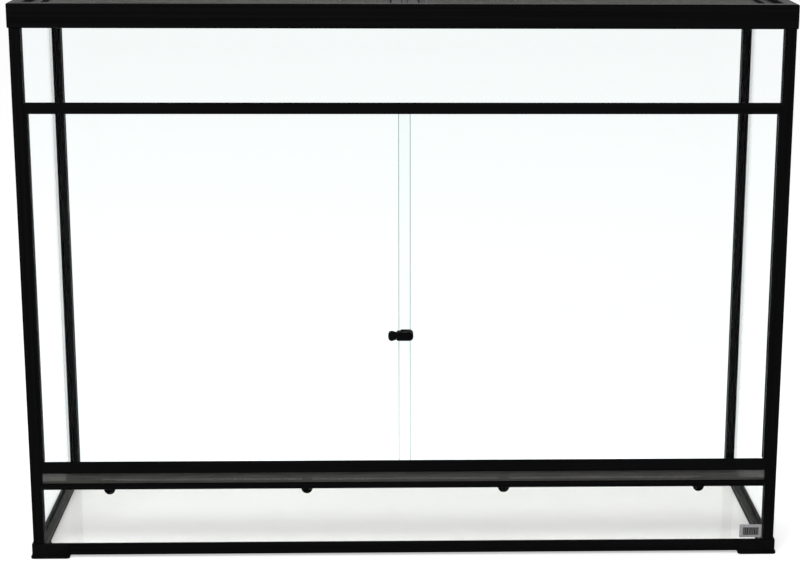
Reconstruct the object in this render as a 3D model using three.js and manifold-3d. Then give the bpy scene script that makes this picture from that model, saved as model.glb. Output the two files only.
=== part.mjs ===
// A wide glass terrarium cabinet. Black grooved profiles hold panes of glass, two panes slide in a
// double track at the front, air comes in through a strip under the doors and leaves through two
// drop-in screens on top. Millimetres, +Z up, the front faces -Y.
import * as THREE from "three";
import { mergeGeometries, mergeVertices } from "three/addons/utils/BufferGeometryUtils.js";
import Module from "manifold-3d";

const wasm = await Module();
wasm.setup();

// ---- Driving sizes ----

// The cabinet over its profiles, and its height from the floor.
const cabinetWidth = 1220;
const cabinetDepth = 385;
const cabinetHeight = 907;

// Profiles. Posts and rails are square in plan, with a lip outside each pane of glass.
const profileSize = 18;
const outerLip = 3.6;
const profileWall = 1.6;
const chamberWall = 1.8;
const edgeRound = 1;
const cutGap = 0.3;

// Fixed panes and their grooves.
const paneThickness = 4;
const paneSlack = 0.4;
const paneEdgeGap = 0.8;
const grooveDepth = 8;
const shallowGroove = 4.5;
const baseGrooveDepth = 12;

// Heights of the front's rails and of what shows between them, from the floor up.
const footLift = 5;
const baseRailHeight = 20;
const baseInnerHeight = 14;
const lowerPaneSight = 92.9;
const sillHeight = 9.7;
const ventSight = 18.4;
const lowerTrackHeight = 20;
const upperTrackHeight = 17.8;
const upperTrackInnerHeight = 14.8;
const upperPaneSight = 115.6;
const topRailHeight = 38;
const floorPaneSeat = 1.8;

// The top rails stand a little proud of the posts. A strip let into each makes the screens' ledge.
const topRailProud = 2;
const ledgeWidth = 12;
const ledgeThickness = 3;
const ledgeDrop = 18;
const ledgeTongue = 1.2;
const ledgeSlack = 0.2;

// Corner feet: a moulding round the foot of each corner, with a flange on the floor.
const footArm = 61.4;
const footHeight = 24.6;
const footProud = 3;
const flangeProud = 4.7;
const flangeArm = 63.4;
const footRound = 4;
const footBevel = 1.2;

// Spigots that join the corners.
const spigotLength = 30;
const spigotSlack = 0.4;
const keyArm = 45;

// The sliding doors and their double track. The lower track's inner lips are lower than its
// outer one, so that the doors lift out inwards.
const doorThickness = 4;
const doorSlack = 0.5;
const trackLip = 2;
const trackDivider = 3;
const lowerTrackGroove = 12;
const dividerDrop = 3.6;
const rearLipDrop = 6.4;
const upperTrackGroove = 11;
const doorTopReach = 2.7;
const doorOverlap = 19;
const doorsMeetAt = -1.3;
const channelWidth = 4;
const channelFloor = 1.2;

// The air strip under the doors.
const stripThickness = 1.2;
const stripSlack = 0.3;
const stripGroove = 4;
const stripSlotWidth = 10;
const stripSlotHeight = 11;
const stripSlotPitch = 16;

// Round-ended clips behind the sill. The inner pair runs up to the track.
const clipRadius = 9.3;
const clipStemWidth = 17;
const clipThickness = 3;
const clipCentreHeight = 112.6;
const innerClipPlace = 162;
const outerClipInset = 125;

// The screens on top and the bar between them.
const screenHeight = 11;
const screenRim = 16;
const screenSlack = 1;
const screenGroove = 4;
const screenCornerRound = 3;
const grilleThickness = 1.2;
const grilleSlack = 0.3;
const grilleBar = 5;
const grilleColumns = 15;
const grilleRows = 9;
const barWeb = 8;
const barFlange = 32;

// The lock on the front door's edge: a clip with a turning knob at its left.
const lockHeight = 13.9;
const lockReach = 22.4;
const lockNose = 4.2;
const lockCentreHeight = 378.4;
const lockDepth = 15;
const lockLegReach = 16;
const lockLeg = 2;
const lockNoseRound = 6.6;
const lockBackRound = 2.6;
const knobRadius = 8.3;
const knobLength = 13.2;
const knobGlassGap = 0.5;
const neckRadius = 6.4;
const knobPinRadius = 3;
const knobPinLength = 8;
const knobPinSlack = 0.3;
const knobTipRadius = 2.9;
const knobBellyPlace = 5.3;
const knobEase = 2;

// How finely curves are cut, and how far a cutter reaches past what it cuts.
const cornerSteps = 4;
const bevelSteps = 2;
const lockSteps = 6;
const clipSteps = 24;
const knobSteps = 36;
const past = 1;
const mergeWithin = 1e-4;

// ---- Sizes that follow ----

const grooveWidth = paneThickness + 2 * paneSlack;
const grooveInner = outerLip + grooveWidth;
const chamberFrom = grooveInner + chamberWall;
const chamberTo = profileSize - profileWall;
const paneReach = profileSize - grooveDepth + paneEdgeGap;

const baseTop = footLift + baseRailHeight;
const sillBottom = baseTop + lowerPaneSight;
const sillTop = sillBottom + sillHeight;
const lowerTrackBottom = sillTop + ventSight;
const lowerTrackTop = lowerTrackBottom + lowerTrackHeight;
const topRailBottom = cabinetHeight - topRailHeight;
const upperTrackTop = topRailBottom - upperPaneSight;
const upperTrackBottom = upperTrackTop - upperTrackHeight;

const paneBottom = baseTop - baseGrooveDepth + cutGap;
const paneTop = topRailBottom + grooveDepth - paneEdgeGap;

const trackGroove = doorThickness + 2 * doorSlack;
const frontGrooveFrom = trackLip;
const rearGrooveFrom = frontGrooveFrom + trackGroove + trackDivider;
const frontDoorFace = frontGrooveFrom + doorSlack;
const rearDoorFace = rearGrooveFrom + doorSlack;

const openingHalf = cabinetWidth / 2 - profileSize;
const openingSpan = 2 * (openingHalf - cutGap);
const ledgeTop = topRailHeight - ledgeDrop;
const screenBottom = topRailBottom + ledgeTop + cutGap;

// ---- Materials ----

const blackProfile = { color: 0x0b0b0c, roughness: 0.42, metalness: 0 };
const blackMoulding = { color: 0x0d0d0e, roughness: 0.5, metalness: 0 };
const clearGlass = {
  color: 0xe9f2f0,
  roughness: 0.03,
  metalness: 0,
  transparent: true,
  opacity: 0.25,
};
const darkMesh = { color: 0x2e2f30, roughness: 0.6, metalness: 0.3 };

// ---- Ways of making a piece ----

const quarterTurn = Math.PI / 2;
const cabinet = new THREE.Group();

function piece(name, geometry, finish, parent = cabinet) {
  const mesh = new THREE.Mesh(geometry, new THREE.MeshStandardMaterial(finish));
  mesh.name = name;
  parent.add(mesh);
  return mesh;
}

// The faces that close on themselves, where a lathe's profile meets its axis, are left out.
function solid(geometry) {
  const bare = geometry.clone();
  bare.deleteAttribute("normal");
  bare.deleteAttribute("uv");
  const merged = mergeVertices(bare, mergeWithin);
  const corner = merged.index.array;
  const faces = [];
  for (let i = 0; i < corner.length; i += 3) {
    const [a, b, c] = corner.slice(i, i + 3);
    if (a !== b && b !== c && c !== a) faces.push(a, b, c);
  }
  return new wasm.Manifold(
    new wasm.Mesh({
      numProp: 3,
      vertProperties: new Float32Array(merged.attributes.position.array),
      triVerts: new Uint32Array(faces),
    }),
  );
}

function geometryOf(manifold) {
  const mesh = manifold.getMesh();
  const geometry = new THREE.BufferGeometry();
  geometry.setAttribute("position", new THREE.BufferAttribute(mesh.vertProperties, 3));
  geometry.setIndex(new THREE.BufferAttribute(mesh.triVerts, 1));
  const faceted = geometry.toNonIndexed();
  faceted.computeVertexNormals();
  return faceted;
}

// A box given by its lowest and highest corner.
function block(low, high) {
  const size = high.map((value, axis) => value - low[axis]);
  const box = new THREE.BoxGeometry(...size);
  return box.translate(...low.map((value, axis) => value + size[axis] / 2));
}

// A sheet with one hole for each cutter.
function punched(sheet, cutters) {
  return geometryOf(solid(sheet).subtract(solid(mergeGeometries(cutters))));
}

function outline(points, holes = []) {
  const shape = new THREE.Shape(points.map(([x, y]) => new THREE.Vector2(x, y)));
  for (const hole of holes) {
    shape.holes.push(new THREE.Path(hole.map(([x, y]) => new THREE.Vector2(x, y))));
  }
  return shape;
}

function rectangle(x0, y0, x1, y1) {
  return [
    [x0, y0],
    [x1, y0],
    [x1, y1],
    [x0, y1],
  ];
}

// A rectangle with round corners, each with its own radius, from the lower left one round.
function roundedRectangle(x0, y0, x1, y1, radii) {
  const [a, b, c, d] = radii;
  const shape = new THREE.Shape();
  shape.moveTo(x0 + a, y0);
  shape.lineTo(x1 - b, y0);
  shape.absarc(x1 - b, y0 + b, b, -quarterTurn, 0, false);
  shape.lineTo(x1, y1 - c);
  shape.absarc(x1 - c, y1 - c, c, 0, quarterTurn, false);
  shape.lineTo(x0 + d, y1);
  shape.absarc(x0 + d, y1 - d, d, quarterTurn, 2 * quarterTurn, false);
  shape.lineTo(x0, y0 + a);
  shape.absarc(x0 + a, y0 + a, a, 2 * quarterTurn, 3 * quarterTurn, false);
  return shape;
}

// Stands a flat outline up: from height z0 to z1.
function standing(shape, z0, z1) {
  const geometry = new THREE.ExtrudeGeometry(shape, {
    depth: z1 - z0,
    bevelEnabled: false,
    curveSegments: cornerSteps,
  });
  return geometry.translate(0, 0, z0);
}

// A length of profile along X, centred. Its section is drawn with x going in from the
// cabinet's outer plane and y going up from the profile's lower face.
const alongX = new THREE.Matrix4().makeBasis(
  new THREE.Vector3(0, 1, 0),
  new THREE.Vector3(0, 0, 1),
  new THREE.Vector3(1, 0, 0),
);

function lengthOfProfile(section, length) {
  const geometry = new THREE.ExtrudeGeometry(section, { depth: length, bevelEnabled: false });
  return geometry.translate(0, 0, -length / 2).applyMatrix4(alongX);
}

// A group at the middle of each side, X along the side and Y going in.
const sides = [
  { name: "front", turn: 0, span: cabinetWidth, out: cabinetDepth / 2 },
  { name: "right", turn: quarterTurn, span: cabinetDepth, out: cabinetWidth / 2 },
  { name: "back", turn: 2 * quarterTurn, span: cabinetWidth, out: cabinetDepth / 2 },
  { name: "left", turn: 3 * quarterTurn, span: cabinetDepth, out: cabinetWidth / 2 },
].map(({ name, turn, span, out }) => {
  const frame = new THREE.Group();
  frame.rotation.z = turn;
  frame.position.set(out * Math.sin(turn), -out * Math.cos(turn), 0);
  cabinet.add(frame);
  return { name, span, frame };
});
const [front, right, back, left] = sides;

// A group at each outer corner, X and Y both going in along the two sides.
const corners = [
  { name: "front_left", turn: 0, x: -1, y: -1 },
  { name: "front_right", turn: quarterTurn, x: 1, y: -1 },
  { name: "back_right", turn: 2 * quarterTurn, x: 1, y: 1 },
  { name: "back_left", turn: 3 * quarterTurn, x: -1, y: 1 },
].map(({ name, turn, x, y }) => {
  const frame = new THREE.Group();
  frame.rotation.z = turn;
  frame.position.set((x * cabinetWidth) / 2, (y * cabinetDepth) / 2, 0);
  cabinet.add(frame);
  return { name, frame };
});

// ---- Corner posts: square extrusions with a glazing groove on both inner faces ----

const grooveFloor = profileSize - grooveDepth;
const postSection = outline(
  [
    [edgeRound, 0],
    [profileSize, 0],
    [profileSize, outerLip],
    [grooveFloor, outerLip],
    [grooveFloor, grooveInner],
    [profileSize, grooveInner],
    [profileSize, profileSize],
    [grooveInner, profileSize],
    [grooveInner, grooveFloor],
    [outerLip, grooveFloor],
    [outerLip, profileSize],
    [0, profileSize],
    [0, edgeRound],
  ],
  [rectangle(chamberFrom, chamberFrom, chamberTo, chamberTo)],
);
const post = standing(postSection, baseTop + cutGap, topRailBottom - cutGap);
for (const { name, frame } of corners) {
  piece("post_" + name, post, blackProfile, frame);
}

// ---- Base rails: a tall outer lip, the glazing groove, and a lower inside with the floor pane's
// groove and a chamber for the feet ----

const floorGrooveDepth = profileSize - grooveInner - chamberWall;
const floorGrooveTop = floorPaneSeat + grooveWidth;
const baseChamber = { low: floorGrooveTop + chamberWall, high: baseInnerHeight - profileWall };
const baseSection = outline(
  [
    [edgeRound, 0],
    [profileSize, 0],
    [profileSize, floorPaneSeat],
    [profileSize - floorGrooveDepth, floorPaneSeat],
    [profileSize - floorGrooveDepth, floorGrooveTop],
    [profileSize, floorGrooveTop],
    [profileSize, baseInnerHeight],
    [grooveInner, baseInnerHeight],
    [grooveInner, baseRailHeight - baseGrooveDepth],
    [outerLip, baseRailHeight - baseGrooveDepth],
    [outerLip, baseRailHeight],
    [0, baseRailHeight],
    [0, edgeRound],
  ],
  [rectangle(chamberFrom, baseChamber.low, chamberTo, baseChamber.high)],
);
for (const { name, span, frame } of sides) {
  const length = span - 2 * (profileSize + cutGap);
  const rail = lengthOfProfile(baseSection, length);
  piece("base_rail_" + name, rail, blackProfile, frame).position.z = footLift;
}

// ---- Corner feet: an L-shaped moulding that wraps the base rails, with a spigot into each
// rail and one up into the post ----

function cornerL(proud, arm) {
  const shape = new THREE.Shape();
  const end = footRound;
  shape.moveTo(-proud + footRound, -proud);
  shape.lineTo(arm - proud - end, -proud);
  shape.absarc(arm - proud - end, -proud + end, end, -quarterTurn, 0, false);
  shape.lineTo(arm - proud, profileSize);
  shape.lineTo(profileSize, profileSize);
  shape.lineTo(profileSize, arm - proud);
  shape.lineTo(-proud + end, arm - proud);
  shape.absarc(-proud + end, arm - proud - end, end, quarterTurn, 2 * quarterTurn, false);
  shape.lineTo(-proud, -proud + footRound);
  shape.absarc(-proud + footRound, -proud + footRound, footRound, 2 * quarterTurn, 3 * quarterTurn, false);
  return shape;
}

function footSolid() {
  const flangeTop = footLift - cutGap;
  const flange = new THREE.ExtrudeGeometry(cornerL(flangeProud - footBevel, flangeArm - 2 * footBevel), {
    depth: flangeTop - 2 * footBevel,
    bevelEnabled: true,
    bevelThickness: footBevel,
    bevelSize: footBevel,
    bevelSegments: bevelSteps,
    curveSegments: cornerSteps,
  }).translate(0, 0, footBevel);
  const reach = flangeArm + flangeProud;
  const slack = spigotSlack;
  const skirt = new THREE.ExtrudeGeometry(cornerL(footProud - footBevel, footArm - 2 * footBevel), {
    depth: footHeight - 3 * footBevel,
    bevelEnabled: true,
    bevelThickness: footBevel,
    bevelSize: footBevel,
    bevelSegments: bevelSteps,
    curveSegments: cornerSteps,
  }).translate(0, 0, 2 * footBevel);
  let foot = solid(flange)
    .add(solid(skirt))
    .subtract(solid(block([profileSize, -cutGap, flangeTop], [reach, reach, baseTop])))
    .subtract(solid(block([-cutGap, profileSize, flangeTop], [reach, reach, baseTop])))
    .add(solid(block([0, 0, footLift], [profileSize, profileSize, baseTop])));
  // The panes' lower corners stand in the same grooves as the rails'.
  const grooveLow = baseTop - baseGrooveDepth;
  const grooveHigh = baseTop + past;
  foot = foot
    .subtract(solid(block([grooveFloor, outerLip, grooveLow], [reach, grooveInner, grooveHigh])))
    .subtract(solid(block([outerLip, grooveFloor, grooveLow], [grooveInner, reach, grooveHigh])));
  const floorGroove = profileSize - floorGrooveDepth;
  foot = foot.subtract(
    solid(
      block(
        [floorGroove, floorGroove, footLift + floorPaneSeat],
        [reach, reach, footLift + floorGrooveTop],
      ),
    ),
  );
  const spigotLow = footLift + baseChamber.low + slack;
  const spigotHigh = footLift + baseChamber.high - slack;
  const inner = chamberFrom + slack;
  const outer = chamberTo - slack;
  const end = profileSize + spigotLength;
  return foot
    .add(solid(block([inner, inner, footLift + baseChamber.low], [outer, outer, baseTop + spigotLength])))
    .add(solid(block([inner, inner, spigotLow], [end, outer, spigotHigh])))
    .add(solid(block([inner, inner, spigotLow], [outer, end, spigotHigh])));
}

const foot = geometryOf(footSolid());
for (const { name, frame } of corners) {
  piece("foot_" + name, foot, blackMoulding, frame);
}

// ---- Top rails: mitred, with a glazing groove below and a slot inside for the ledge ----

const ledgeIn = profileSize + ledgeWidth;
const ledgeBottom = ledgeTop - ledgeThickness;
const ledgeSlot = profileSize - ledgeTongue - ledgeSlack;
const topChamberTo = ledgeSlot - chamberWall;
const topChamber = { low: grooveDepth + chamberWall, high: topRailHeight - profileWall };
const topSection = outline([
  [-topRailProud + edgeRound, 0],
  [outerLip, 0],
  [outerLip, grooveDepth],
  [grooveInner, grooveDepth],
  [grooveInner, 0],
  [profileSize, 0],
  [profileSize, ledgeBottom],
  [ledgeSlot, ledgeBottom],
  [ledgeSlot, ledgeTop + ledgeSlack],
  [profileSize, ledgeTop + ledgeSlack],
  [profileSize, topRailHeight],
  [-topRailProud + edgeRound, topRailHeight],
  [-topRailProud, topRailHeight - edgeRound],
  [-topRailProud, edgeRound],
]);
const topChambers = [
  [chamberFrom, topChamberTo],
  [profileWall - topRailProud, grooveInner],
];

// A length for one side with mitred ends. The mitres leave a hair's gap.
function mitred(section, span) {
  const half = span / 2;
  const cut = cutGap / 2;
  const between = outline([
    [-half - topRailProud + cut, -topRailProud],
    [half + topRailProud - cut, -topRailProud],
    [half - ledgeIn - cut, ledgeIn],
    [-half + ledgeIn + cut, ledgeIn],
  ]);
  const length = lengthOfProfile(section, span + 2 * topRailProud);
  return solid(length).intersect(solid(standing(between, -past, topRailHeight + past)));
}

// The pin of the corner key passes down through the ends.
function topRail(span) {
  const half = span / 2;
  let rail = mitred(topSection, span);
  for (const [from, to] of topChambers) {
    rail = rail.subtract(solid(block([-span, from, topChamber.low], [span, to, topChamber.high])));
  }
  for (const end of [-1, 1]) {
    const middle = end * (half - (chamberFrom + chamberTo) / 2);
    const radius = (chamberTo - chamberFrom) / 2;
    const pinHole = block(
      [middle - radius, chamberFrom, -past],
      [middle + radius, chamberTo, topChamber.low + chamberWall],
    );
    rail = rail.subtract(solid(pinHole));
  }
  return geometryOf(rail);
}
for (const { name, span, frame } of sides) {
  piece("top_rail_" + name, topRail(span), blackProfile, frame).position.z = topRailBottom;
}

// ---- Ledges: mitred strips let into the slot round the inside of the top rails ----

const ledgeSection = outline(rectangle(profileSize - ledgeTongue, ledgeBottom, ledgeIn, ledgeTop));
for (const { name, span, frame } of sides) {
  const ledge = geometryOf(mitred(ledgeSection, span));
  piece("screen_ledge_" + name, ledge, blackProfile, frame).position.z = topRailBottom;
}

// ---- Corner keys: hidden angles inside the top mitres, with a pin down into each post ----

function keySolid() {
  const inner = chamberFrom + spigotSlack;
  const outer = topChamberTo - spigotSlack;
  const pinOuter = chamberTo - spigotSlack;
  const low = topRailBottom + topChamber.low + cutGap;
  const high = topRailBottom + topChamber.high - cutGap;
  const pinTop = topRailBottom + topChamber.low + chamberWall - cutGap;
  return solid(block([inner, inner, low], [inner + keyArm, outer, high]))
    .add(solid(block([inner, inner, low], [outer, inner + keyArm, high])))
    .add(solid(block([inner, inner, topRailBottom - spigotLength], [pinOuter, pinOuter, pinTop])));
}
const key = geometryOf(keySolid());
for (const { name, frame } of corners) {
  piece("top_key_" + name, key, blackMoulding, frame);
}

// ---- Fixed panes ----

function standingPane(name, side, z0, z1) {
  const half = side.span / 2 - paneReach;
  const face = outerLip + paneSlack;
  piece(name, block([-half, face, z0], [half, face + paneThickness, z1]), clearGlass, side.frame);
}
standingPane("lower_front_panel", front, paneBottom, sillBottom + shallowGroove - paneEdgeGap);
standingPane("upper_front_panel", front, upperTrackTop - shallowGroove + cutGap, paneTop);
standingPane("right_panel", right, paneBottom, paneTop);
standingPane("back_panel", back, paneBottom, paneTop);
standingPane("left_panel", left, paneBottom, paneTop);

const floorInset = profileSize - floorGrooveDepth + paneEdgeGap;
const floorHalf = [cabinetWidth / 2 - floorInset, cabinetDepth / 2 - floorInset];
const floorLow = footLift + floorPaneSeat + paneSlack;
piece(
  "floor_panel",
  block([-floorHalf[0], -floorHalf[1], floorLow], [floorHalf[0], floorHalf[1], floorLow + paneThickness]),
  clearGlass,
);

// ---- Sill over the lower pane, air strip, and the doors' two tracks ----

const stripFrom = outerLip + grooveWidth / 2 - stripThickness / 2;
const stripTo = stripFrom + stripThickness;
const sillSection = outline([
  [edgeRound, 0],
  [outerLip, 0],
  [outerLip, shallowGroove],
  [grooveInner, shallowGroove],
  [grooveInner, 0],
  [profileSize, 0],
  [profileSize, sillHeight],
  [stripTo + stripSlack, sillHeight],
  [stripTo + stripSlack, sillHeight - stripGroove],
  [stripFrom - stripSlack, sillHeight - stripGroove],
  [stripFrom - stripSlack, sillHeight],
  [0, sillHeight],
  [0, edgeRound],
]);
function acrossFront(name, section, height) {
  piece(name, lengthOfProfile(section, openingSpan), blackProfile, front.frame).position.z = height;
}
acrossFront("vent_sill", sillSection, sillBottom);

const trackFloor = lowerTrackHeight - lowerTrackGroove;
const lowerTrackSection = outline([
  [0, 0],
  [stripFrom - stripSlack, 0],
  [stripFrom - stripSlack, stripGroove],
  [stripTo + stripSlack, stripGroove],
  [stripTo + stripSlack, 0],
  [profileSize, 0],
  [profileSize, lowerTrackHeight - rearLipDrop],
  [rearGrooveFrom + trackGroove, lowerTrackHeight - rearLipDrop],
  [rearGrooveFrom + trackGroove, trackFloor],
  [rearGrooveFrom, trackFloor],
  [rearGrooveFrom, lowerTrackHeight - dividerDrop],
  [frontGrooveFrom + trackGroove, lowerTrackHeight - dividerDrop],
  [frontGrooveFrom + trackGroove, trackFloor],
  [frontGrooveFrom, trackFloor],
  [frontGrooveFrom, lowerTrackHeight],
  [0, lowerTrackHeight],
]);
acrossFront("lower_door_track", lowerTrackSection, lowerTrackBottom);

const upperTrackSection = outline([
  [0, 0],
  ...[frontGrooveFrom, rearGrooveFrom].flatMap((from) => [
    [from, 0],
    [from, upperTrackGroove],
    [from + trackGroove, upperTrackGroove],
    [from + trackGroove, 0],
  ]),
  [profileSize, 0],
  [profileSize, upperTrackInnerHeight],
  [grooveInner, upperTrackInnerHeight],
  [grooveInner, upperTrackHeight - shallowGroove],
  [outerLip, upperTrackHeight - shallowGroove],
  [outerLip, upperTrackHeight],
  [0, upperTrackHeight],
]);
acrossFront("upper_door_track", upperTrackSection, upperTrackBottom);

// The strip is punched with a row of slots.
function ventStrip() {
  const half = openingSpan / 2;
  const bottom = sillTop - stripGroove + cutGap;
  const top = lowerTrackBottom + stripGroove - stripSlack;
  const middle = sillTop + ventSight / 2;
  const count = Math.floor((2 * half) / stripSlotPitch) - 1;
  const slots = [];
  for (let i = 0; i < count; i += 1) {
    const x = (i - (count - 1) / 2) * stripSlotPitch;
    const side = stripSlotWidth / 2;
    const rise = stripSlotHeight / 2;
    const low = [x - side, stripFrom - past, middle - rise];
    slots.push(block(low, [x + side, stripTo + past, middle + rise]));
  }
  return punched(block([-half, stripFrom, bottom], [half, stripTo, top]), slots);
}
piece("vent_strip", ventStrip(), darkMesh, front.frame);

// ---- Clips behind the sill ----

function clip(top) {
  const shape = new THREE.Shape();
  const half = clipStemWidth / 2;
  const joint = Math.acos(half / clipRadius);
  shape.moveTo(half, top);
  shape.lineTo(-half, top);
  shape.absarc(0, clipCentreHeight, clipRadius, Math.PI - joint, 2 * Math.PI + joint, false);
  shape.lineTo(half, top);
  const plate = new THREE.ExtrudeGeometry(shape, {
    depth: clipThickness,
    bevelEnabled: false,
    curveSegments: clipSteps,
  });
  return plate.rotateX(quarterTurn).translate(0, profileSize + cutGap + clipThickness, 0);
}
const clips = [
  { name: "vent_clip_outer_left", x: outerClipInset - cabinetWidth / 2, top: sillTop },
  { name: "vent_clip_inner_left", x: -innerClipPlace, top: lowerTrackBottom + stripGroove },
  { name: "vent_clip_inner_right", x: innerClipPlace, top: lowerTrackBottom + stripGroove },
  { name: "vent_clip_outer_right", x: cabinetWidth / 2 - outerClipInset, top: sillTop },
];
for (const { name, x, top } of clips) {
  piece(name, clip(top), blackMoulding, front.frame).position.x = x;
}

// ---- Side channels that the closed doors' edges stand in ----

// Their feet straddle the track's outer lip.
function doorChannel(grooveFrom, lipFrom) {
  const section = outline([
    [0, 0],
    [channelWidth, 0],
    [channelWidth, grooveFrom],
    [channelFloor, grooveFrom],
    [channelFloor, grooveFrom + trackGroove],
    [channelWidth, grooveFrom + trackGroove],
    [channelWidth, profileSize],
    [0, profileSize],
  ]);
  const channel = standing(section, lowerTrackTop - dividerDrop + cutGap, upperTrackBottom - cutGap);
  const lip = block(
    [-past, lipFrom - cutGap, 0],
    [channelWidth + past, lipFrom + trackLip + cutGap, lowerTrackTop + cutGap],
  );
  return punched(channel, [lip]);
}
const leftChannel = piece("door_channel_left", doorChannel(frontGrooveFrom, 0), blackProfile, front.frame);
leftChannel.position.x = -openingHalf + cutGap;

// The right one is turned round, and its groove meets the rear door.
const turnedGroove = profileSize - rearGrooveFrom - trackGroove;
const turnedLip = profileSize - trackLip;
const rightProfile = doorChannel(turnedGroove, turnedLip);
const rightChannel = piece("door_channel_right", rightProfile, blackProfile, front.frame);
rightChannel.rotation.z = Math.PI;
rightChannel.position.set(openingHalf - cutGap, profileSize, 0);

// ---- Sliding doors: frameless panes, the left one in front ----

const doorBottom = lowerTrackTop - lowerTrackGroove + cutGap;
const doorTop = upperTrackBottom + doorTopReach;
const doorFarEdge = openingHalf - 2 * cutGap - channelFloor;
const leftDoorEdge = doorsMeetAt + doorOverlap / 2;
const rightDoorEdge = doorsMeetAt - doorOverlap / 2;
piece(
  "left_door",
  block([-doorFarEdge, frontDoorFace, doorBottom], [leftDoorEdge, frontDoorFace + doorThickness, doorTop]),
  clearGlass,
  front.frame,
);
piece(
  "right_door",
  block([rightDoorEdge, rearDoorFace, doorBottom], [doorFarEdge, rearDoorFace + doorThickness, doorTop]),
  clearGlass,
  front.frame,
);

// ---- Lock: a clip over the front door's edge, and a knob that turns in it ----

const lockLeft = leftDoorEdge - lockReach;
const lockRight = leftDoorEdge + cutGap + lockNose;
const lockFaceIn = frontDoorFace - cutGap;
const legBack = frontDoorFace + doorThickness + cutGap + lockLeg;
const knobAxisIn = frontDoorFace - knobGlassGap - knobRadius;

// A round pin or disc along X from x0 to x1.
function turned(radius, x0, x1) {
  const cylinder = new THREE.CylinderGeometry(radius, radius, x1 - x0, knobSteps);
  return cylinder.rotateZ(-quarterTurn).translate((x0 + x1) / 2, 0, 0);
}

function lockSolid() {
  const half = lockHeight / 2;
  const face = roundedRectangle(lockLeft, -half, lockRight, half, [
    lockBackRound,
    lockNoseRound,
    lockNoseRound,
    lockBackRound,
  ]);
  const bodyFront = lockFaceIn - lockDepth;
  const body = new THREE.ExtrudeGeometry(face, {
    depth: legBack - bodyFront,
    bevelEnabled: false,
    curveSegments: lockSteps,
  });
  body.rotateX(quarterTurn).translate(0, legBack, 0);
  const paneSlot = block(
    [lockLeft - past, lockFaceIn, -half - past],
    [leftDoorEdge + cutGap, frontDoorFace + doorThickness + cutGap, half + past],
  );
  const behindPane = block(
    [lockLeft - past, lockFaceIn, -half - past],
    [leftDoorEdge - lockLegReach, legBack + past, half + past],
  );
  const bore = turned(knobPinRadius + knobPinSlack, lockLeft - past, lockLeft + knobPinLength + cutGap);
  return solid(body)
    .subtract(solid(paneSlot))
    .subtract(solid(behindPane))
    .subtract(solid(bore.translate(0, knobAxisIn, 0)));
}
piece("lock_body", geometryOf(lockSolid()), blackMoulding, front.frame).position.z = lockCentreHeight;

// The knob is turned: round at its far end, drawn in to a neck, with a pin into the clip's bore.
function knobGeometry() {
  const neckEnd = lockLeft - cutGap;
  const far = neckEnd - knobLength;
  const belly = far + knobBellyPlace;
  const profile = new THREE.Path();
  profile.moveTo(0, far);
  profile.lineTo(knobTipRadius, far);
  profile.bezierCurveTo(knobRadius - knobEase, far, knobRadius, belly - knobEase, knobRadius, belly);
  profile.bezierCurveTo(knobRadius, belly + knobEase, neckRadius, neckEnd - knobEase, neckRadius, neckEnd);
  profile.lineTo(knobPinRadius, neckEnd);
  profile.lineTo(knobPinRadius, lockLeft + knobPinLength);
  profile.lineTo(0, lockLeft + knobPinLength);
  const turning = new THREE.LatheGeometry(profile.getPoints(lockSteps), knobSteps);
  return geometryOf(solid(turning.rotateZ(-quarterTurn)));
}
const knob = piece("lock_knob", knobGeometry(), blackMoulding, front.frame);
knob.position.set(0, knobAxisIn, lockCentreHeight);

// ---- Bar across the top, and the two screens that drop in beside it ----

const barBase = -barFlange / 2;
const barSection = outline([
  [barBase, ledgeBottom],
  [-barBase, ledgeBottom],
  [-barBase, ledgeTop],
  [barWeb / 2, ledgeTop],
  [barWeb / 2, ledgeTop + screenHeight],
  [-barWeb / 2, ledgeTop + screenHeight],
  [-barWeb / 2, ledgeTop],
  [barBase, ledgeTop],
]);

// Its flange runs between the ledges, and its web rests on them.
function crossBar() {
  const inside = cabinetDepth - 2 * (profileSize + cutGap);
  const bar = solid(lengthOfProfile(barSection, inside));
  const end = inside / 2 - ledgeWidth;
  const lift = ledgeTop + cutGap;
  return geometryOf(
    bar
      .subtract(solid(block([end, -barFlange, 0], [inside, barFlange, lift])))
      .subtract(solid(block([-inside, -barFlange, 0], [-end, barFlange, lift]))),
  );
}
const bar = piece("top_cross_bar", crossBar(), blackProfile);
bar.rotation.z = quarterTurn;
bar.position.z = topRailBottom;

const screenNear = barWeb / 2 + screenSlack;
const screenFar = cabinetWidth / 2 - profileSize - screenSlack;
const screenHalfDepth = cabinetDepth / 2 - profileSize - screenSlack;
const screenHalfWidth = (screenFar - screenNear) / 2;
const sightHalf = [screenHalfWidth - screenRim, screenHalfDepth - screenRim];

function screenFrame() {
  const round = [screenCornerRound, screenCornerRound, screenCornerRound, screenCornerRound];
  const rim = roundedRectangle(-screenHalfWidth, -screenHalfDepth, screenHalfWidth, screenHalfDepth, round);
  rim.holes.push(outline(rectangle(-sightHalf[0], -sightHalf[1], sightHalf[0], sightHalf[1])));
  const [x, y] = sightHalf.map((half) => half + screenGroove);
  const low = screenHeight / 2 - grilleThickness / 2 - grilleSlack;
  const groove = block([-x, -y, low], [x, y, screenHeight - low]);
  return geometryOf(solid(standing(rim, 0, screenHeight)).subtract(solid(groove)));
}

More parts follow.
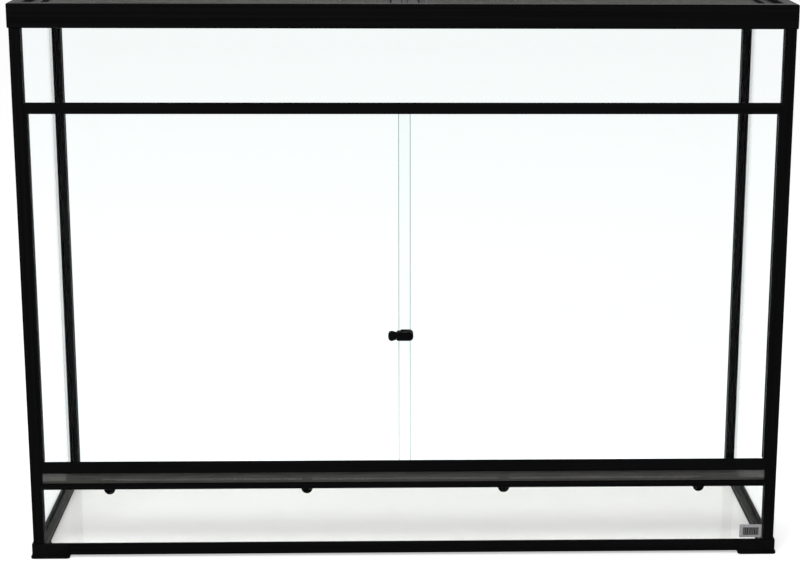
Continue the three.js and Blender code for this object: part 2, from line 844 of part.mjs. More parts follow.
function screenGrille() {
  const [x, y] = sightHalf.map((half) => half + screenGroove - grilleSlack);
  const pitch = [(2 * sightHalf[0]) / grilleColumns, (2 * sightHalf[1]) / grilleRows];
  const low = (screenHeight - grilleThickness) / 2;
  const high = low + grilleThickness;
  const holes = [];
  for (let column = 0; column < grilleColumns; column += 1) {
    for (let row = 0; row < grilleRows; row += 1) {
      const x0 = -sightHalf[0] + column * pitch[0] + grilleBar / 2;
      const y0 = -sightHalf[1] + row * pitch[1] + grilleBar / 2;
      const x1 = x0 + pitch[0] - grilleBar;
      const y1 = y0 + pitch[1] - grilleBar;
      holes.push(block([x0, y0, low - past], [x1, y1, high + past]));
    }
  }
  return punched(block([-x, -y, low], [x, y, high]), holes);
}

const frameGeometry = screenFrame();
const grilleGeometry = screenGrille();
for (const [side, way] of [["left", -1], ["right", 1]]) {
  const screen = new THREE.Group();
  screen.position.set((way * (screenNear + screenFar)) / 2, 0, screenBottom);
  cabinet.add(screen);
  piece("screen_frame_" + side, frameGeometry, blackProfile, screen);
  piece("screen_grille_" + side, grilleGeometry, darkMesh, screen);
}

// The origin is on the floor, under the middle of everything the cabinet reaches over:
// the knob stands further out in front than the feet do behind.
const frontReach = cabinetDepth / 2 - knobAxisIn + knobRadius;
const backReach = cabinetDepth / 2 + flangeProud;
cabinet.position.y = (frontReach - backReach) / 2;

export default cabinet;
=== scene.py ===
import math

import bmesh
import bpy
from mathutils import Matrix, Vector


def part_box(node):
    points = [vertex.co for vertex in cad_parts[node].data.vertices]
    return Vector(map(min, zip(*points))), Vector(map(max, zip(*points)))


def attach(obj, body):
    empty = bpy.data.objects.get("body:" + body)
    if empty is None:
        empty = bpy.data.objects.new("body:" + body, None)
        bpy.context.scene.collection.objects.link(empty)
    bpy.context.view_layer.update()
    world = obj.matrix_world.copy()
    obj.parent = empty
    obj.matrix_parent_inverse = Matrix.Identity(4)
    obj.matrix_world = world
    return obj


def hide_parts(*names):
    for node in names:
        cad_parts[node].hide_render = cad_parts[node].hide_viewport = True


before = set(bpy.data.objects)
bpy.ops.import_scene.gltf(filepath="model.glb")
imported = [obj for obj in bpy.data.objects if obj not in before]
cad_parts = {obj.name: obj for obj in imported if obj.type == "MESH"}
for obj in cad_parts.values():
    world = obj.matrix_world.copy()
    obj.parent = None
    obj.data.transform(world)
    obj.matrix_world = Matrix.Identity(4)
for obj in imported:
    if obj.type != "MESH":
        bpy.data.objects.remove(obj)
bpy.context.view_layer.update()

# ---------------------------------------------------------------------------------------------
# Corner posts. Four square extrusions of black plastic that carry the panes in grooves. They are
# sawn to length, stood on the feet's spigots and pinned to the top frame, so they have no screws.
# The die leaves fine lines along each length, and handling leaves faint duller patches.
# ---------------------------------------------------------------------------------------------

CORNERS = ("front_left", "front_right", "back_right", "back_left")


def start_material(name):
    material = bpy.data.materials.new(name)
    material.use_nodes = True
    tree = material.node_tree
    return material, tree.nodes, tree.links, tree.nodes["Principled BSDF"]


def stretched_noise(nodes, links, scale, detail=2.0):
    """A noise value whose grain is stretched: scale is waves per metre along X, Y and Z."""
    place = nodes.new("ShaderNodeTexCoord")
    mapping = nodes.new("ShaderNodeMapping")
    mapping.inputs["Scale"].default_value = scale
    noise = nodes.new("ShaderNodeTexNoise")
    noise.inputs["Scale"].default_value = 1.0
    noise.inputs["Detail"].default_value = detail
    links.new(place.outputs["Object"], mapping.inputs["Vector"])
    links.new(mapping.outputs["Vector"], noise.inputs["Vector"])
    return noise.outputs["Fac"]


def spread(nodes, links, value, low, high, source=(0.3, 0.7)):
    """Takes a noise value to the range low to high."""
    ranged = nodes.new("ShaderNodeMapRange")
    ranged.inputs["From Min"].default_value = source[0]
    ranged.inputs["From Max"].default_value = source[1]
    ranged.inputs["To Min"].default_value = low
    ranged.inputs["To Max"].default_value = high
    links.new(value, ranged.inputs["Value"])
    return ranged.outputs["Result"]


def two_tone(nodes, links, value, dark, pale):
    """A colour between dark and pale, by a value from 0 to 1."""
    ramp = nodes.new("ShaderNodeValToRGB")
    ramp.color_ramp.elements[0].color = (*dark, 1.0)
    ramp.color_ramp.elements[1].color = (*pale, 1.0)
    links.new(value, ramp.inputs["Fac"])
    return ramp.outputs["Color"]


def raise_surface(nodes, links, shader, height, distance, strength=1.0):
    bump = nodes.new("ShaderNodeBump")
    bump.inputs["Strength"].default_value = strength
    bump.inputs["Distance"].default_value = distance
    links.new(height, bump.inputs["Height"])
    links.new(bump.outputs["Normal"], shader.inputs["Normal"])


PROFILE_DARK = (0.0014, 0.0014, 0.0016)
PROFILE_PALE = (0.0034, 0.0034, 0.0037)
# Set low, because the photograph's black plastic mirrors almost nothing.
PLASTIC_SHEEN = 0.02
DIE_LINES = 1400.0
DIE_BANDS = 260.0
LINE_HEIGHT = 0.00006

def extruded_black(name, along):
    """Black extruded plastic whose die lines run along one axis: 0, 1 or 2."""
    material, nodes, links, shader = start_material(name)
    die_lines = [DIE_LINES] * 3
    die_lines[along] = 5.0
    bands = [DIE_BANDS] * 3
    bands[along] = 1.6
    lines = stretched_noise(nodes, links, die_lines, detail=3.0)
    broad = stretched_noise(nodes, links, bands, detail=2.0)
    patches = stretched_noise(nodes, links, (9.0, 9.0, 9.0), detail=4.0)
    share = spread(nodes, links, broad, 0.0, 1.0)
    colour = two_tone(nodes, links, share, PROFILE_DARK, PROFILE_PALE)
    links.new(colour, shader.inputs["Base Color"])
    streaks = spread(nodes, links, broad, 0.30, 0.44)
    handled = spread(nodes, links, patches, -0.03, 0.07)
    rough = nodes.new("ShaderNodeMath")
    rough.operation = "ADD"
    links.new(streaks, rough.inputs[0])
    links.new(handled, rough.inputs[1])
    links.new(rough.outputs["Value"], shader.inputs["Roughness"])
    shader.inputs["Specular IOR Level"].default_value = PLASTIC_SHEEN
    raise_surface(nodes, links, shader, lines, LINE_HEIGHT, 0.7)
    return material


def finish_with(node, material):
    """Puts one material on a node or piece."""
    node.data.materials.clear()
    node.data.materials.append(material)


WELD_WITHIN = 0.00001
FLAT_WITHIN = math.radians(0.6)
CORNER_OVER = math.radians(35)


def soften(node, radius, segments=2):
    """Breaks the sharp corners of a solid, as every real edge is."""
    weld = node.modifiers.new("weld", "WELD")
    weld.merge_threshold = WELD_WITHIN
    flat = node.modifiers.new("flat faces", "DECIMATE")
    flat.decimate_type = "DISSOLVE"
    flat.angle_limit = FLAT_WITHIN
    edge = node.modifiers.new("soft edge", "BEVEL")
    edge.width = radius
    edge.segments = segments
    edge.limit_method = "ANGLE"
    edge.angle_limit = CORNER_OVER


PROFILE_EDGE = 0.0005
profile_upright = extruded_black("profile upright", along=2)
profile_across = extruded_black("profile across", along=0)
for corner in CORNERS:
    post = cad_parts["post_" + corner]
    finish_with(post, profile_upright)
    soften(post, PROFILE_EDGE)

# ---------------------------------------------------------------------------------------------
# Base rails. The same black extrusion laid along the four sides, open on top for the side panes
# and grooved inside for the glass floor. They push onto the feet's spigots. The photograph's light
# makes the side rails' inner and upper faces look grey, so those are painted a dull grey here.
# ---------------------------------------------------------------------------------------------

# Painted light: this grey stands for light falling on the side rails' upper and inner faces.
PAINTED_LIGHT_GREY = (0.032, 0.032, 0.030)
SIDE_RAIL_PLACE = 0.6


def paint_light_inside(material):
    """Paints a lighter grey, as painted light, on the faces of a side rail that look up or towards
    the middle of the cabinet.
    """
    nodes, links = material.node_tree.nodes, material.node_tree.links
    shader = nodes["Principled BSDF"]
    geometry = nodes.new("ShaderNodeNewGeometry")
    place = nodes.new("ShaderNodeSeparateXYZ")
    links.new(geometry.outputs["Position"], place.inputs["Vector"])
    inward = nodes.new("ShaderNodeMath")
    inward.operation = "MULTIPLY"
    inward.inputs[1].default_value = -1 / SIDE_RAIL_PLACE
    links.new(place.outputs["X"], inward.inputs[0])
    aim = nodes.new("ShaderNodeCombineXYZ")
    aim.inputs["Z"].default_value = 1.0
    links.new(inward.outputs["Value"], aim.inputs["X"])
    facing = nodes.new("ShaderNodeVectorMath")
    facing.operation = "DOT_PRODUCT"
    links.new(geometry.outputs["Normal"], facing.inputs[0])
    links.new(aim.outputs["Vector"], facing.inputs[1])
    greyed = nodes.new("ShaderNodeMix")
    greyed.data_type = "RGBA"
    greyed.inputs[7].default_value = (*PAINTED_LIGHT_GREY, 1.0)
    share = spread(nodes, links, facing.outputs["Value"], 0.0, 1.0, source=(0.4, 0.9))
    links.new(share, greyed.inputs["Factor"])
    links.new(shader.inputs["Base Color"].links[0].from_socket, greyed.inputs[6])
    links.new(greyed.outputs[2], shader.inputs["Base Color"])
    return material


profile_painted_light = paint_light_inside(extruded_black("profile painted light", along=1))
for side, finish in (
    ("front", profile_across),
    ("back", profile_across),
    ("left", profile_painted_light),
    ("right", profile_painted_light),
):
    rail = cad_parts["base_rail_" + side]
    finish_with(rail, finish)
    soften(rail, PROFILE_EDGE)

# ---------------------------------------------------------------------------------------------
# Corner feet. Injection-moulded black plastic angles that wrap the rails and lift the cabinet off
# the table. Their skin has a fine even spark texture, a little duller than the extrusions.
# ---------------------------------------------------------------------------------------------

MOULDING_DARK = (0.0018, 0.0018, 0.0019)
MOULDING_PALE = (0.0040, 0.0040, 0.0042)
SPARK_DEPTH = 0.00008
FOOT_EDGE = 0.0004


def moulded_black(name, grain, low_rough=0.42, high_rough=0.58):
    """Black moulded plastic with a spark texture of that many grains to the metre."""
    material, nodes, links, shader = start_material(name)
    texture = stretched_noise(nodes, links, (grain, grain, grain), detail=3.0)
    flow = stretched_noise(nodes, links, (38.0, 38.0, 60.0), detail=3.0)
    share = spread(nodes, links, flow, 0.0, 1.0)
    colour = two_tone(nodes, links, share, MOULDING_DARK, MOULDING_PALE)
    links.new(colour, shader.inputs["Base Color"])
    links.new(spread(nodes, links, flow, low_rough, high_rough), shader.inputs["Roughness"])
    shader.inputs["Specular IOR Level"].default_value = PLASTIC_SHEEN
    raise_surface(nodes, links, shader, texture, SPARK_DEPTH, 0.8)
    return material


moulding = moulded_black("moulded plastic", grain=1500.0)
for corner in CORNERS:
    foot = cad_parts["foot_" + corner]
    finish_with(foot, moulding)
    soften(foot, FOOT_EDGE)
    finish_with(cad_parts["top_key_" + corner], moulding)

# ---------------------------------------------------------------------------------------------
# Top rails. A deeper extrusion mitred at the four corners, with a ledge strip let in on the inside
# for the screens. The mitres close over hidden corner keys.
# ---------------------------------------------------------------------------------------------

TOP_EDGE = 0.0007
THIN_EDGE = 0.0003
profile_deep = extruded_black("profile front to back", along=1)
for side, finish in (
    ("front", profile_across),
    ("back", profile_across),
    ("left", profile_deep),
    ("right", profile_deep),
):
    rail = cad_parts["top_rail_" + side]
    finish_with(rail, finish)
    soften(rail, TOP_EDGE)
    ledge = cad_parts["screen_ledge_" + side]
    finish_with(ledge, finish)
    soften(ledge, THIN_EDGE)

# ---------------------------------------------------------------------------------------------
# Fixed panes and floor. 4 mm float glass with ground edges, slid into the grooves. It is almost
# clear: a breath of green in the sheet, more of it along the cut edges, and a few wiping marks.
# The floor pane's sheet is tinted greyer than the rest: a little of that is the glass, the rest is
# painted shade for the floor under the cabinet.
# ---------------------------------------------------------------------------------------------

SHEET_TINT = (0.970, 0.992, 0.990)
# Painted shade: far darker than the glass itself, this tint stands for the shade on the floor under
# the cabinet.
FLOOR_SHADE_TINT = (0.816, 0.795, 0.780)
EDGE_TINT = (0.12, 0.20, 0.18)
SHADOW_TINT = (0.95, 0.97, 0.965)
SIDE_TINT = (0.985, 0.994, 0.996)
# Set low, because the photograph's panes were lit so as to mirror almost nothing.
GLASS_IOR = 1.10
GROUND_ROUGH = 0.35
WIPED_ROUGH = 0.02


def float_glass(name, facing, sheet=SHEET_TINT):
    """Clear glass for a pane that faces along one axis, with greener ground edges."""
    material, nodes, links, shader = start_material(name)
    geometry = nodes.new("ShaderNodeNewGeometry")
    axes = nodes.new("ShaderNodeSeparateXYZ")
    size = nodes.new("ShaderNodeMath")
    size.operation = "ABSOLUTE"
    links.new(geometry.outputs["Normal"], axes.inputs["Vector"])
    links.new(axes.outputs[facing], size.inputs[0])
    on_edge = spread(nodes, links, size.outputs["Value"], 1.0, 0.0, source=(0.75, 0.95))
    tint = nodes.new("ShaderNodeMix")
    tint.data_type = "RGBA"
    tint.inputs[6].default_value = (*sheet, 1.0)
    tint.inputs[7].default_value = (*EDGE_TINT, 1.0)
    links.new(on_edge, tint.inputs["Factor"])
    links.new(tint.outputs[2], shader.inputs["Base Color"])
    wiping = stretched_noise(nodes, links, (3.0, 3.0, 9.0), detail=4.0)
    wiped = spread(nodes, links, wiping, 0.0, WIPED_ROUGH)
    ground = nodes.new("ShaderNodeMath")
    ground.operation = "MULTIPLY_ADD"
    ground.inputs[1].default_value = GROUND_ROUGH
    links.new(on_edge, ground.inputs[0])
    links.new(wiped, ground.inputs[2])
    links.new(ground.outputs["Value"], shader.inputs["Roughness"])
    shader.inputs["IOR"].default_value = GLASS_IOR
    shader.inputs["Transmission Weight"].default_value = 1.0
    path = nodes.new("ShaderNodeLightPath")
    clear = nodes.new("ShaderNodeBsdfTransparent")
    clear.inputs["Color"].default_value = (*SHADOW_TINT, 1.0)
    either = nodes.new("ShaderNodeMixShader")
    links.new(path.outputs["Is Shadow Ray"], either.inputs["Fac"])
    links.new(shader.outputs["BSDF"], either.inputs[1])
    links.new(clear.outputs["BSDF"], either.inputs[2])
    links.new(either.outputs["Shader"], nodes["Material Output"].inputs["Surface"])
    return material


glass_across = float_glass("glass across", facing="Y")
glass_deep = float_glass("glass front to back", facing="X", sheet=SIDE_TINT)
glass_flat = float_glass("glass floor", facing="Z", sheet=FLOOR_SHADE_TINT)
PANE_ARRIS = 0.0005
for name, glass in (
    ("lower_front_panel", glass_across),
    ("upper_front_panel", glass_across),
    ("back_panel", glass_across),
    ("left_panel", glass_deep),
    ("right_panel", glass_deep),
    ("floor_panel", glass_flat),
):
    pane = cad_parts[name]
    finish_with(pane, glass)
    soften(pane, PANE_ARRIS, segments=1)

# ---------------------------------------------------------------------------------------------
# Sill and door tracks. Three extrusions across the front: the sill on the lower pane, and the two
# tracks whose pairs of grooves the sliding doors run in.
# ---------------------------------------------------------------------------------------------

TRACK_EDGE = 0.0004
for name in ("vent_sill", "lower_door_track", "upper_door_track"):
    finish_with(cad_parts[name], profile_across)
    soften(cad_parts[name], TRACK_EDGE)

# ---------------------------------------------------------------------------------------------
# Air strip. Dark woven wire cloth, its edges held in the sill's and the track's grooves. The wires
# go over and under each other, so it lets air and a little light through.
# ---------------------------------------------------------------------------------------------

WIRE_GREY = (0.062, 0.062, 0.058)
WIRE_PALE = (0.105, 0.105, 0.098)
STRIP_PITCH = 0.0016
STRIP_WIRE = 0.0012
WIRE_MARKS = 0.00004


def woven_wire(name, width, height, pitch, wire):
    """Wire cloth in the XY plane, centred. Each wire steps over one crossing and under the next."""
    half_wire = wire / 2
    lift = wire * 0.45
    verts = []
    faces = []

    def lay(count, length, crossings, across):
        for k in range(count):
            place = (k - (count - 1) / 2) * pitch
            first = len(verts)
            for i in range(-1, crossings + 1):
                run = min(max((i - (crossings - 1) / 2) * pitch, -length / 2), length / 2)
                side = 1 if (i + k) % 2 == 0 else -1
                level = lift * side * (1 if across else -1)
                for u, v in ((-half_wire, 0), (0, -half_wire), (half_wire, 0), (0, half_wire)):
                    point = (run, place + u) if across else (place + u, run)
                    verts.append((*point, level + v))
            rings = crossings + 2
            for i in range(rings - 1):
                for j in range(4):
                    a = first + i * 4 + j
                    b = first + i * 4 + (j + 1) % 4
                    faces.append((a, b, b + 4, a + 4) if across else (b, a, a + 4, b + 4))
            ends = [first + j for j in range(4)], [first + (rings - 1) * 4 + j for j in range(4)]
            faces.append(ends[0][::-1] if across else ends[0])
            faces.append(ends[1] if across else ends[1][::-1])

    columns = int(width / pitch)
    rows = int(height / pitch)
    lay(rows, width, columns, across=True)
    lay(columns, height, rows, across=False)
    mesh = bpy.data.meshes.new(name)
    mesh.from_pydata(verts, [], faces)
    mesh.update()
    return mesh


def wire_finish(name, scale):
    material, nodes, links, shader = start_material(name)
    worn = stretched_noise(nodes, links, scale, detail=3.0)
    colour = two_tone(nodes, links, spread(nodes, links, worn, 0.0, 1.0), WIRE_GREY, WIRE_PALE)
    links.new(colour, shader.inputs["Base Color"])
    links.new(spread(nodes, links, worn, 0.45, 0.65), shader.inputs["Roughness"])
    shader.inputs["Specular IOR Level"].default_value = 0.3
    fine = stretched_noise(nodes, links, (2500.0, 2500.0, 2500.0))
    raise_surface(nodes, links, shader, fine, WIRE_MARKS, 0.6)
    return material


def place_piece(name, mesh, material, body):
    piece = bpy.data.objects.new(name, mesh)
    bpy.context.scene.collection.objects.link(piece)
    mesh.materials.append(material)
    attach(piece, body)
    return piece


strip_low, strip_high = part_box("vent_strip")
strip_size = strip_high - strip_low
strip_mesh = woven_wire("air strip cloth", strip_size.x, strip_size.z, STRIP_PITCH, STRIP_WIRE)
strip_mesh.transform(Matrix.Rotation(math.pi / 2, 4, "X"))
strip_mesh.transform(Matrix.Translation((strip_low + strip_high) / 2))
strip_wire = wire_finish("strip wire", (18.0, 60.0, 420.0))
air_strip = place_piece("air_strip_cloth", strip_mesh, strip_wire, "cabinet")
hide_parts("vent_strip")

# ---------------------------------------------------------------------------------------------
# Clips behind the sill. Flat round-ended mouldings that hang below the sill; the inner pair runs
# up behind the wire cloth to the track.
# ---------------------------------------------------------------------------------------------

CLIP_EDGE = 0.0005
clip_plastic = moulded_black("clip plastic", grain=1100.0)
for place in ("outer_left", "inner_left", "inner_right", "outer_right"):
    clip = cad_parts["vent_clip_" + place]
    finish_with(clip, clip_plastic)
    soften(clip, CLIP_EDGE)

# ---------------------------------------------------------------------------------------------
# Side channels. Thin extrusions on the front posts that the closed doors' edges stand in.
# ---------------------------------------------------------------------------------------------

for side in ("left", "right"):
    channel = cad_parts["door_channel_" + side]
    finish_with(channel, profile_upright)
    soften(channel, THIN_EDGE)

# ---------------------------------------------------------------------------------------------
# Sliding doors. Frameless panes of the same glass with ground edges. The left one runs in the
# front groove, and the two overlap in the middle, where they look a shade bluer.
# ---------------------------------------------------------------------------------------------

DOOR_ARRIS = 0.0010
for name in ("left_door", "right_door"):
    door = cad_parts[name]
    finish_with(door, glass_across)
    soften(door, DOOR_ARRIS, segments=1)

# ---------------------------------------------------------------------------------------------
# Lock. A moulded clip over the front door's free edge, with a turned knob at its left that a
# quarter turn tightens. Both are satin black, rubbed a little brighter where fingers take hold.
# ---------------------------------------------------------------------------------------------

LOCK_EDGE = 0.0009
lock_plastic = moulded_black("lock plastic", grain=1900.0, low_rough=0.50, high_rough=0.62)
lock_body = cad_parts["lock_body"]
finish_with(lock_body, lock_plastic)
soften(lock_body, LOCK_EDGE, segments=3)

KNOB_TURNS = 96
KNOB_GAP = 0.00005
PIN_RADIUS = 0.003
knob_low, knob_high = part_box("lock_knob")
knob_axis = (knob_low + knob_high) / 2
knob_radius = (knob_high.z - knob_low.z) / 2
neck_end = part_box("lock_body")[0].x - KNOB_GAP
knob_length = neck_end - knob_low.x


def turned_mesh(name, outline, steps):
    """Turns an outline of (x, radius) pairs about the X axis."""
    mesh = bmesh.new()
    rings = []
    for x, radius in outline:
        if radius == 0:
            rings.append([mesh.verts.new((x, 0, 0))])
            continue
        ring = []
        for i in range(steps):
            angle = 2 * math.pi * i / steps
            ring.append(mesh.verts.new((x, radius * math.cos(angle), radius * math.sin(angle))))
        rings.append(ring)
    for near, far in zip(rings, rings[1:]):
        for i in range(steps):
            j = (i + 1) % steps
            corners = near[i % len(near)], near[j % len(near)], far[j % len(far)], far[i % len(far)]
            mesh.faces.new(list(dict.fromkeys(corners)))
    bmesh.ops.recalc_face_normals(mesh, faces=mesh.faces)
    data = bpy.data.meshes.new(name)
    mesh.to_mesh(data)
    mesh.free()
    for polygon in data.polygons:
        polygon.use_smooth = True
    return data


def knob_outline():
    """A rounded far end, a belly two fifths along, a waist at the clip, and the pin."""
    tip = [(0.0, 0.0), (0.0, 0.30), (0.015, 0.42), (0.05, 0.60), (0.12, 0.80)]
    belly = [(0.22, 0.94), (0.33, 0.995), (0.42, 1.0), (0.52, 0.985), (0.64, 0.93)]
    waist = [(0.76, 0.855), (0.88, 0.795), (0.97, 0.773), (1.0, 0.765)]
    outline = [
        (knob_low.x + along * knob_length, share * knob_radius)
        for along, share in tip + belly + waist
    ]
    return outline + [(neck_end, PIN_RADIUS), (knob_high.x, PIN_RADIUS), (knob_high.x, 0.0)]


knob_mesh = turned_mesh("knob", knob_outline(), KNOB_TURNS)
knob_mesh.transform(Matrix.Translation((0, knob_axis.y, knob_axis.z)))
knob = place_piece("lock_knob_turned", knob_mesh, lock_plastic, "lock_turn")
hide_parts("lock_knob")

# ---------------------------------------------------------------------------------------------
# Top screens and their bar. Two extruded frames that drop onto the ledge, each with woven wire
# cloth pressed into its groove by a rubber bead, and a tee bar between them.
# ---------------------------------------------------------------------------------------------

finish_with(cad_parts["top_cross_bar"], profile_deep)
soften(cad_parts["top_cross_bar"], PROFILE_EDGE)

SCREEN_PITCH = 0.0036
SCREEN_WIRE = 0.0008
BEAD_RADIUS = 0.0012
BEAD_CORNER = 0.004
BEAD_INSET = 0.004
BEAD_LIFT = 0.0004
screen_wire = wire_finish("screen wire", (45.0, 45.0, 45.0))
bead_rubber = moulded_black("bead rubber", grain=2400.0, low_rough=0.6, high_rough=0.75)


def bead_loop(name, low, high, level):
    """A rubber bead round the inside of a screen frame."""
    curve = bpy.data.curves.new(name, "CURVE")
    curve.dimensions = "3D"
    curve.bevel_depth = BEAD_RADIUS
    curve.bevel_resolution = 3
    spline = curve.splines.new("POLY")
    corners = ((low.x, low.y, 180), (high.x, low.y, 270), (high.x, high.y, 0), (low.x, high.y, 90))
    points = []
    for x, y, start in corners:
        centre_x = x + BEAD_CORNER * (1 if x == low.x else -1)
        centre_y = y + BEAD_CORNER * (1 if y == low.y else -1)
        for step in range(7):
            angle = math.radians(start + step * 15)
            along_x = centre_x + BEAD_CORNER * math.cos(angle)
            points.append((along_x, centre_y + BEAD_CORNER * math.sin(angle), level))
    spline.points.add(len(points) - 1)
    for point, where in zip(spline.points, points):
        point.co = (*where, 1.0)
    spline.use_cyclic_u = True
    return curve


for side in ("left", "right"):
    body = side + "_screen"
    finish_with(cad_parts["screen_frame_" + side], profile_across)
    soften(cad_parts["screen_frame_" + side], PROFILE_EDGE)
    low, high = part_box("screen_grille_" + side)
    size = high - low
    cloth = woven_wire("screen cloth " + side, size.x, size.y, SCREEN_PITCH, SCREEN_WIRE)
    cloth.transform(Matrix.Translation((low + high) / 2))
    screen = place_piece("screen_cloth_" + side, cloth, screen_wire, body)
    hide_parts("screen_grille_" + side)
    inset = Vector((BEAD_INSET + BEAD_RADIUS, BEAD_INSET + BEAD_RADIUS, 0))
    bead = bead_loop("bead " + side, low + inset, high - inset, high.z + BEAD_RADIUS + BEAD_LIFT)
    place_piece("screen_bead_" + side, bead, bead_rubber, body)

# ---------------------------------------------------------------------------------------------
# Label. A small silver-grey paper label on the lower front pane at the right, printed with plain
# bars of mixed widths that stand for no number.
# ---------------------------------------------------------------------------------------------

LABEL_LEFT = 0.5536
LABEL_RIGHT = 0.5904
LABEL_LOW = 0.0268
LABEL_HIGH = 0.0496
LABEL_THICK = 0.00015
LABEL_CORNER = 0.0015
LABEL_GAP = 0.1
PAPER_DARK = (0.27, 0.27, 0.275)
PAPER_PALE = (0.36, 0.36, 0.37)
INK_DARK = (0.006, 0.006, 0.007)
INK_PALE = (0.02, 0.02, 0.021)
INK_THICK = 0.00004
BAR_GAP = 0.6
BARS_LEFT = LABEL_LEFT + 0.0058
BARS_RIGHT = LABEL_RIGHT - 0.0050
BARS_LOW = LABEL_LOW + 0.0042
BARS_HIGH = LABEL_HIGH - 0.0052
BAR_WIDTHS = (2, 1, 3, 1, 4, 2, 1, 5, 2, 1, 1, 3, 2, 4, 1, 2, 3, 1, 2, 5, 1, 2, 4, 1, 3)

pane_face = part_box("lower_front_panel")[0].y


def flat_plate(name, outline, front, thickness):
    """A thin upright plate with this outline in X and Z, its face towards -Y."""
    mesh = bmesh.new()
    verts = [mesh.verts.new((x, front, z)) for x, z in outline]
    face = mesh.faces.new(verts)
    made = bmesh.ops.extrude_face_region(mesh, geom=[face])
    back = [v for v in made["geom"] if isinstance(v, bmesh.types.BMVert)]
    bmesh.ops.translate(mesh, verts=back, vec=(0, thickness, 0))
    bmesh.ops.recalc_face_normals(mesh, faces=mesh.faces)
    data = bpy.data.meshes.new(name)
    mesh.to_mesh(data)
    mesh.free()
    return data


def label_outline():
    points = []
    for x, z, start in (
        (LABEL_RIGHT, LABEL_LOW, 270),
        (LABEL_RIGHT, LABEL_HIGH, 0),
        (LABEL_LEFT, LABEL_HIGH, 90),
        (LABEL_LEFT, LABEL_LOW, 180),
    ):
        centre_x = x + LABEL_CORNER * (-1 if x == LABEL_RIGHT else 1)
        centre_z = z + LABEL_CORNER * (-1 if z == LABEL_HIGH else 1)
        for step in range(5):
            angle = math.radians(start + step * 22.5)
            along_x = centre_x + LABEL_CORNER * math.cos(angle)
            points.append((along_x, centre_z + LABEL_CORNER * math.sin(angle)))
    return points


paper, nodes, links, shader = start_material("label paper")
mottle = stretched_noise(nodes, links, (300.0, 300.0, 300.0), detail=4.0)
tone = two_tone(nodes, links, spread(nodes, links, mottle, 0.0, 1.0), PAPER_DARK, PAPER_PALE)
links.new(tone, shader.inputs["Base Color"])
links.new(spread(nodes, links, mottle, 0.4, 0.6), shader.inputs["Roughness"])
fibre = stretched_noise(nodes, links, (2200.0, 2200.0, 2200.0))
raise_surface(nodes, links, shader, fibre, 0.00003, 0.5)
label_front = pane_face - LABEL_THICK
label_mesh = flat_plate("label", label_outline(), label_front, LABEL_THICK * (1 - LABEL_GAP))
place_piece("plain_label", label_mesh, paper, "cabinet")

ink, nodes, links, shader = start_material("label ink")
spots = stretched_noise(nodes, links, (900.0, 900.0, 900.0), detail=3.0)
tone = two_tone(nodes, links, spread(nodes, links, spots, 0.0, 1.0), INK_DARK, INK_PALE)
links.new(tone, shader.inputs["Base Color"])
links.new(spread(nodes, links, spots, 0.45, 0.65), shader.inputs["Roughness"])
shader.inputs["Specular IOR Level"].default_value = 0.1

bars = bmesh.new()
unit = (BARS_RIGHT - BARS_LEFT) / (sum(BAR_WIDTHS) + BAR_GAP * (len(BAR_WIDTHS) - 1))
bar_x = BARS_LEFT
for width in BAR_WIDTHS:
    low = Vector((bar_x, label_front - INK_THICK, BARS_LOW))
    high = Vector((bar_x + width * unit, label_front - INK_THICK * LABEL_GAP, BARS_HIGH))
    box = bmesh.ops.create_cube(bars, size=1.0)["verts"]
    bmesh.ops.scale(bars, verts=box, vec=high - low)
    bmesh.ops.translate(bars, verts=box, vec=(low + high) / 2)
    bar_x += (width + BAR_GAP) * unit
bars_mesh = bpy.data.meshes.new("label bars")
bars.to_mesh(bars_mesh)
bars.free()
place_piece("plain_label_bars", bars_mesh, ink, "cabinet")

# ---------------------------------------------------------------------------------------------
# Studio. A wide pale floor, a white surround, one big soft lamp high in front and a weaker one at
# the left, and a camera a little above the cabinet's top, looking down at its front.
# ---------------------------------------------------------------------------------------------

FLOOR_HALF = 30.0
FLOOR_WHITE = (0.82, 0.82, 0.82, 1.0)
FLOOR_GLOW = 0.50
AMBIENT = 0.55
floor_mesh = bpy.data.meshes.new("floor")
corners = ((-1, -1), (1, -1), (1, 1), (-1, 1))
floor_verts = [(x * FLOOR_HALF, y * FLOOR_HALF, 0.0) for x, y in corners]
floor_mesh.from_pydata(floor_verts, [], [(0, 1, 2, 3)])
floor = bpy.data.objects.new("floor", floor_mesh)
bpy.context.scene.collection.objects.link(floor)


def shows_white(nodes, links):
    """1 for what the camera sees straight, mirrored or through glass, 0 for light on the object."""
    path = nodes.new("ShaderNodeLightPath")
    seen = path.outputs["Is Camera Ray"]
    for kind in ("Is Glossy Ray", "Is Transmission Ray"):
        either = nodes.new("ShaderNodeMath")
        either.use_clamp = True
        links.new(seen, either.inputs[0])
        links.new(path.outputs[kind], either.inputs[1])
        seen = either.outputs["Value"]
    # Light that left a dull surface and then went through a pane is still light on the object.
    without = nodes.new("ShaderNodeMath")
    without.operation = "SUBTRACT"
    without.use_clamp = True
    links.new(seen, without.inputs[0])
    links.new(path.outputs["Diffuse Depth"], without.inputs[1])
    return without.outputs["Value"]


floor_paint, nodes, links, shader = start_material("floor paint")
shader.inputs["Base Color"].default_value = FLOOR_WHITE
shader.inputs["Roughness"].default_value = 1.0
shader.inputs["Specular IOR Level"].default_value = 0.0
glow = nodes.new("ShaderNodeEmission")
lit = spread(nodes, links, shows_white(nodes, links), 0.0, FLOOR_GLOW, source=(0, 1))
links.new(lit, glow.inputs["Strength"])
both = nodes.new("ShaderNodeAddShader")
links.new(shader.outputs["BSDF"], both.inputs[0])
links.new(glow.outputs["Emission"], both.inputs[1])
links.new(both.outputs["Shader"], nodes["Material Output"].inputs["Surface"])
finish_with(floor, floor_paint)

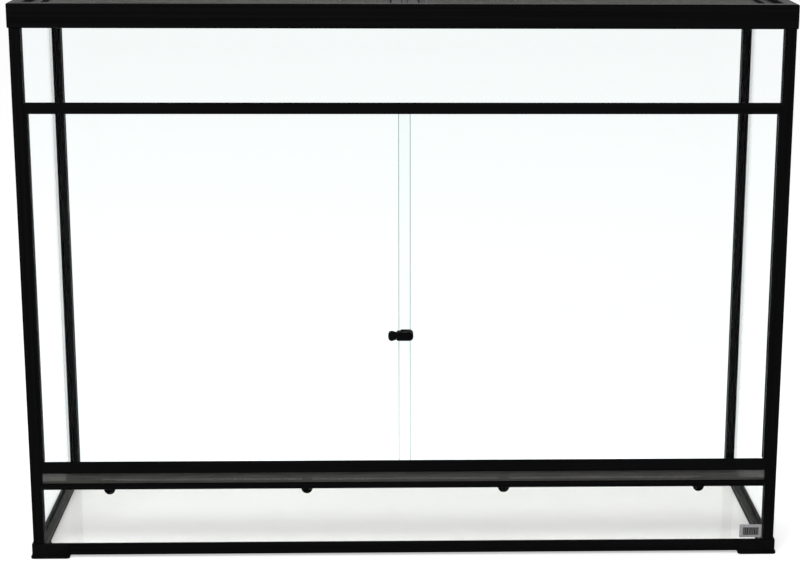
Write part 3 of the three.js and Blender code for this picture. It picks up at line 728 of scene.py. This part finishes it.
world = bpy.data.worlds.new("white surround")
bpy.context.scene.world = world
world.use_nodes = True
nodes, links = world.node_tree.nodes, world.node_tree.links
level = spread(nodes, links, shows_white(nodes, links), AMBIENT, 1.0, source=(0, 1))
links.new(level, nodes["Background"].inputs["Strength"])
nodes["Background"].inputs["Color"].default_value = (1.0, 1.0, 1.0, 1.0)

LAMP_AIM = Vector((0, 0, 0.4))


def soft_lamp(name, where, width, height, watts):
    """A soft rectangular lamp that points at the middle of the cabinet."""
    data = bpy.data.lights.new(name, "AREA")
    data.shape = "RECTANGLE"
    data.size = width
    data.size_y = height
    data.energy = watts
    lamp = bpy.data.objects.new(name, data)
    lamp.location = where
    lamp.rotation_euler = (LAMP_AIM - Vector(where)).to_track_quat("-Z", "Y").to_euler()
    bpy.context.scene.collection.objects.link(lamp)


soft_lamp("front lamp", (-0.8, -3.2, 3.4), width=2.4, height=1.6, watts=90.0)
soft_lamp("left lamp", (-3.4, -0.6, 2.2), width=1.6, height=1.6, watts=12.0)

# The view solved from the photograph, in pixels of a picture 800 wide. It was cropped off centre.
CAMERA_BACK = 3.0081
CAMERA_X = -0.0228
CAMERA_HEIGHT = 1.2060
CAMERA_DOWN = math.radians(13.808)
CAMERA_RIGHT = math.radians(1.833)
CAMERA_ROLL = math.radians(0.296)
FOCAL_PIXELS = 1941.3
PICTURE_WIDTH = 800
AXIS_OFF_CENTRE = 51.4
camera_data = bpy.data.cameras.new("camera")
camera_data.sensor_width = 36.0
camera_data.lens = camera_data.sensor_width * FOCAL_PIXELS / PICTURE_WIDTH
camera_data.shift_x = -AXIS_OFF_CENTRE / PICTURE_WIDTH
camera = bpy.data.objects.new("camera", camera_data)
bpy.context.scene.collection.objects.link(camera)
front_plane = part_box("post_front_left")[0].y
camera.matrix_world = (
    Matrix.Translation((CAMERA_X, front_plane - CAMERA_BACK, CAMERA_HEIGHT))
    @ Matrix.Rotation(-CAMERA_RIGHT, 4, "Z")
    @ Matrix.Rotation(math.radians(90) - CAMERA_DOWN, 4, "X")
    @ Matrix.Rotation(CAMERA_ROLL, 4, "Z")
)
bpy.context.scene.camera = camera
bpy.context.scene.view_settings.view_transform = "Standard"
